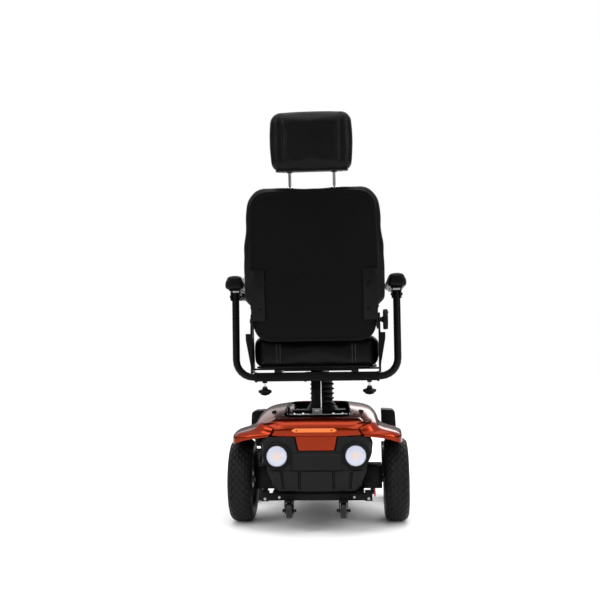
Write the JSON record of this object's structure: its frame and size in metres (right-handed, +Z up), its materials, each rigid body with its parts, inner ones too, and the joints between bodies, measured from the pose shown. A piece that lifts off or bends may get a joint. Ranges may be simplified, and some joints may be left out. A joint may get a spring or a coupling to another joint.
{
  "type": "power wheelchair",
  "caption": "Powered wheelchair: painted shroud over a wheeled base, post-mounted captain seat with reclining back, headrest, flip-up arm pads and joystick.",
  "frame": {"origin": "on the floor, under the middle of the chair's length and width", "axes": "+Z up, +Y the way the occupant faces, +X to the occupant's right"},
  "size_m": [0.627, 1.0383, 1.3917],
  "materials": {
    "black_steel": "satin black powder coat",
    "black_plastic": "moulded black plastic",
    "bumper_plastic": "charcoal textured plastic",
    "tyre": "black pneumatic tyre",
    "rubber": "black moulded rubber",
    "shroud_paint": "glossy metallic copper-orange paint on moulded plastic",
    "vinyl": "black grained upholstery vinyl over foam",
    "back_panel": "black grained panel",
    "chrome": "bright plated steel",
    "lamp_lens": "clear faceted lens over a white reflector",
    "red_plastic": "red-orange moulded plastic"
  },
  "bodies": {
    "base": {"main_frame": "black_steel", "battery_left": "black_plastic", "battery_right": "black_plastic", "power_module": "black_plastic", "drive_motor_left": "black_steel", "drive_motor_right": "black_steel", "body_shroud": "shroud_paint", "rear_bumper": "bumper_plastic", "tail_lamp_left": "lamp_lens", "tail_lamp_right": "lamp_lens", "caster_cover_left": "black_plastic", "caster_cover_right": "black_plastic", "post_cover": "black_plastic", "lift_outer_post": "black_steel", "lift_bellows": "rubber", "anti_tip_fork_left": "black_steel", "anti_tip_fork_right": "black_steel"},
    "seat": {"lift_inner_post": "chrome", "lift_guide_rail": "black_steel", "seat_frame": "black_steel", "armrest_receiver": "black_steel", "seat_cushion": "vinyl", "recliner_plate_left": "black_steel", "recliner_plate_right": "black_steel"},
    "backrest": {"back_shell": "back_panel", "back_cushion": "vinyl", "recliner_arm_left": "black_steel", "recliner_arm_right": "black_steel"},
    "recline_wheel": {"recline_knob": "black_plastic"},
    "headrest": {"headrest_cushion": "vinyl", "headrest_posts": "chrome"},
    "footrest": {"footplate": "black_plastic"},
    "joystick_base": {"joystick_ball": "rubber"},
    "joystick_handle": {"joystick_stick": "rubber"},
    "dial": {"speed_dial": "black_plastic"},
    "button": {"power_button": "red_plastic"},
    "drive_wheel_left": {"drive_tyre_left": "tyre", "drive_rim_left": "black_plastic"},
    "caster_left": {"caster_fork_left": "black_steel"},
    "caster_wheel_left": {"caster_tyre_left": "tyre", "caster_hub_left": "black_plastic"},
    "anti_tip_left": {"anti_tip_wheel_left": "rubber"},
    "freewheel_left": {"freewheel_lever_left": "red_plastic"},
    "armrest_left": {"armrest_tube_left": "black_steel"},
    "clamp_left": {"clamp_knob_left": "black_plastic"},
    "arm_pad_left": {"armrest_bracket_left": "black_steel", "armrest_pad_left": "vinyl", "joystick_pod": "black_plastic"},
    "drive_wheel_right": {"drive_tyre_right": "tyre", "drive_rim_right": "black_plastic"},
    "caster_right": {"caster_fork_right": "black_steel"},
    "caster_wheel_right": {"caster_tyre_right": "tyre", "caster_hub_right": "black_plastic"},
    "anti_tip_right": {"anti_tip_wheel_right": "rubber"},
    "freewheel_right": {"freewheel_lever_right": "red_plastic"},
    "armrest_right": {"armrest_tube_right": "black_steel"},
    "clamp_right": {"clamp_knob_right": "black_plastic"},
    "arm_pad_right": {"armrest_bracket_right": "black_steel", "armrest_pad_right": "vinyl"}
  },
  "joints": [
    {"name": "drive_wheel_left_spin", "type": "hinge", "parent": "base", "child": "drive_wheel_left", "pos_m": [-0.268, -0.24, 0.143], "axis": [1, 0, 0], "continuous": true},
    {"name": "caster_left_swivel", "type": "hinge", "parent": "base", "child": "caster_left", "pos_m": [-0.262, 0.215, 0.25], "axis": [0, 0, 1], "continuous": true},
    {"name": "caster_left_spin", "type": "hinge", "parent": "caster_left", "child": "caster_wheel_left", "pos_m": [-0.262, 0.177, 0.1], "axis": [1, 0, 0], "continuous": true},
    {"name": "anti_tip_left_spin", "type": "hinge", "parent": "base", "child": "anti_tip_left", "pos_m": [-0.088, -0.485, 0.079], "axis": [1, 0, 0], "continuous": true},
    {"name": "freewheel_left_turn", "type": "hinge", "parent": "base", "child": "freewheel_left", "pos_m": [-0.185, -0.272, 0.106], "axis": [1, 0, 0], "range_deg": [0, 35]},
    {"name": "armrest_left_width", "type": "slide", "parent": "seat", "child": "armrest_left", "axis": [-1, 0, 0], "range_m": [0, 0.05]},
    {"name": "clamp_left_turn", "type": "hinge", "parent": "seat", "child": "clamp_left", "pos_m": [-0.181, -0.31, 0.48], "axis": [0, 0, 1], "continuous": true},
    {"name": "arm_pad_left_flip", "type": "hinge", "parent": "armrest_left", "child": "arm_pad_left", "pos_m": [-0.28, -0.31, 0.786], "axis": [1, 0, 0], "range_deg": [0, 100]},
    {"name": "drive_wheel_right_spin", "type": "hinge", "parent": "base", "child": "drive_wheel_right", "pos_m": [0.268, -0.24, 0.143], "axis": [1, 0, 0], "continuous": true},
    {"name": "caster_right_swivel", "type": "hinge", "parent": "base", "child": "caster_right", "pos_m": [0.262, 0.215, 0.25], "axis": [0, 0, 1], "continuous": true},
    {"name": "caster_right_spin", "type": "hinge", "parent": "caster_right", "child": "caster_wheel_right", "pos_m": [0.262, 0.177, 0.1], "axis": [1, 0, 0], "continuous": true},
    {"name": "anti_tip_right_spin", "type": "hinge", "parent": "base", "child": "anti_tip_right", "pos_m": [0.088, -0.485, 0.079], "axis": [1, 0, 0], "continuous": true},
    {"name": "freewheel_right_turn", "type": "hinge", "parent": "base", "child": "freewheel_right", "pos_m": [0.185, -0.272, 0.106], "axis": [1, 0, 0], "range_deg": [0, 35]},
    {"name": "armrest_right_width", "type": "slide", "parent": "seat", "child": "armrest_right", "axis": [1, 0, 0], "range_m": [0, 0.05]},
    {"name": "clamp_right_turn", "type": "hinge", "parent": "seat", "child": "clamp_right", "pos_m": [0.181, -0.31, 0.48], "axis": [0, 0, 1], "continuous": true},
    {"name": "arm_pad_right_flip", "type": "hinge", "parent": "armrest_right", "child": "arm_pad_right", "pos_m": [0.28, -0.31, 0.786], "axis": [1, 0, 0], "range_deg": [0, 100]},
    {"name": "seat_lift", "type": "slide", "parent": "base", "child": "seat", "axis": [0, 0, 1], "range_m": [0, 0.15], "deforming": ["lift_bellows"]},
    {"name": "backrest_recline", "type": "hinge", "parent": "seat", "child": "backrest", "pos_m": [0, -0.365, 0.698], "axis": [1, 0, 0], "range_deg": [-70, 25]},
    {"name": "recline_wheel_turn", "type": "hinge", "parent": "seat", "child": "recline_wheel", "pos_m": [0.238, -0.365, 0.698], "axis": [1, 0, 0], "range_deg": [-900, 400]},
    {"name": "headrest_height", "type": "slide", "parent": "backrest", "child": "headrest", "axis": [0, -0.1392, 0.9903], "range_m": [-0.045, 0.05]},
    {"name": "footplate_flip", "type": "hinge", "parent": "base", "child": "footrest", "pos_m": [0, 0.345, 0.098], "axis": [1, 0, 0], "range_deg": [0, 90]},
    {"name": "joystick_roll", "type": "hinge", "parent": "arm_pad_left", "child": "joystick_base", "pos_m": [-0.28, 0.002, 0.826], "axis": [0, 1, 0], "range_deg": [-18, 18], "stiffness_Nm_per_rad": 0.25},
    {"name": "joystick_pitch", "type": "hinge", "parent": "joystick_base", "child": "joystick_handle", "pos_m": [-0.28, 0.002, 0.826], "axis": [1, 0, 0], "range_deg": [-18, 18], "stiffness_Nm_per_rad": 0.25},
    {"name": "speed_dial_turn", "type": "hinge", "parent": "arm_pad_left", "child": "dial", "pos_m": [-0.286, -0.044, 0.837], "axis": [0, 0, 1], "range_deg": [-135, 135]},
    {"name": "power_button_press", "type": "slide", "parent": "arm_pad_left", "child": "button", "axis": [0, 0, -1], "range_m": [0, 0.0015], "stiffness_N_per_m": 400}
  ],
  "couplings": [
    {"joint": "recline_wheel_turn", "follows": "backrest_recline", "ratio": 12}
  ]
}
